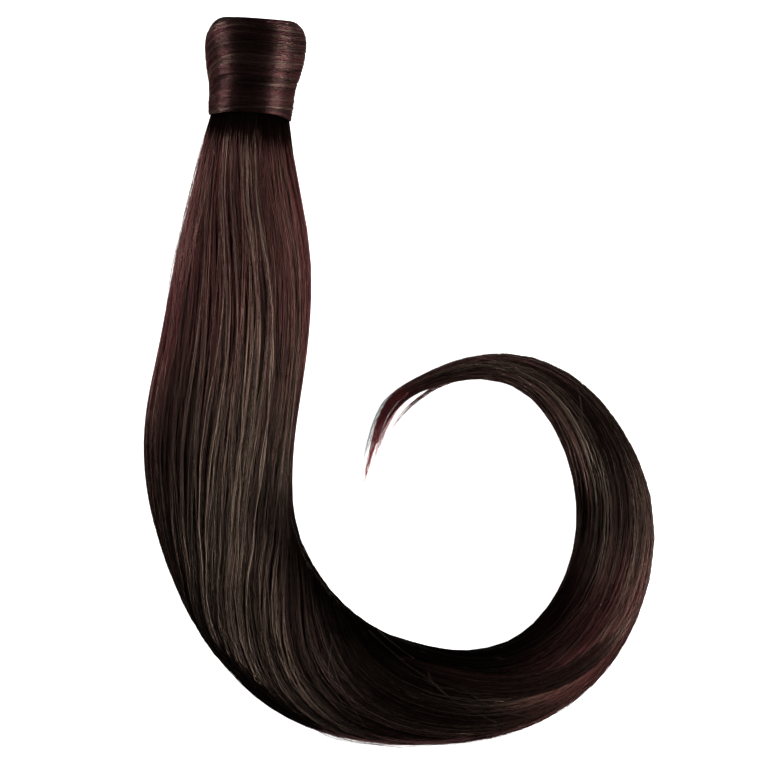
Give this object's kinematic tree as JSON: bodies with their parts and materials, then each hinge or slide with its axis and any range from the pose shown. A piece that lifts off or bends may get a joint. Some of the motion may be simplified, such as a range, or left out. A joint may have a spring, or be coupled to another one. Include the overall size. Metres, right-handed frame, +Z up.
{
  "type": "ponytail hairpiece",
  "caption": "Long straight dark ponytail hairpiece lying in a curl, with a lock wound into an open collar over an elastic tie and a comb inside the mouth.",
  "frame": {"origin": "on the surface it lies on, under the middle of the whole piece", "axes": "+Z up from the surface, +Y towards the head end where the wearer's own hair goes in, +X towards the curled end"},
  "size_m": [0.2038, 0.2906, 0.0336],
  "materials": {
    "wrap_hair": "satin",
    "tail_hair": "satin",
    "elastic": "matt",
    "comb_plastic": "matt"
  },
  "bodies": {
    "root": {"hair_wrap": "wrap_hair", "tie_band": "elastic", "comb": "comb_plastic", "tail": "tail_hair"}
  },
  "joints": []
}
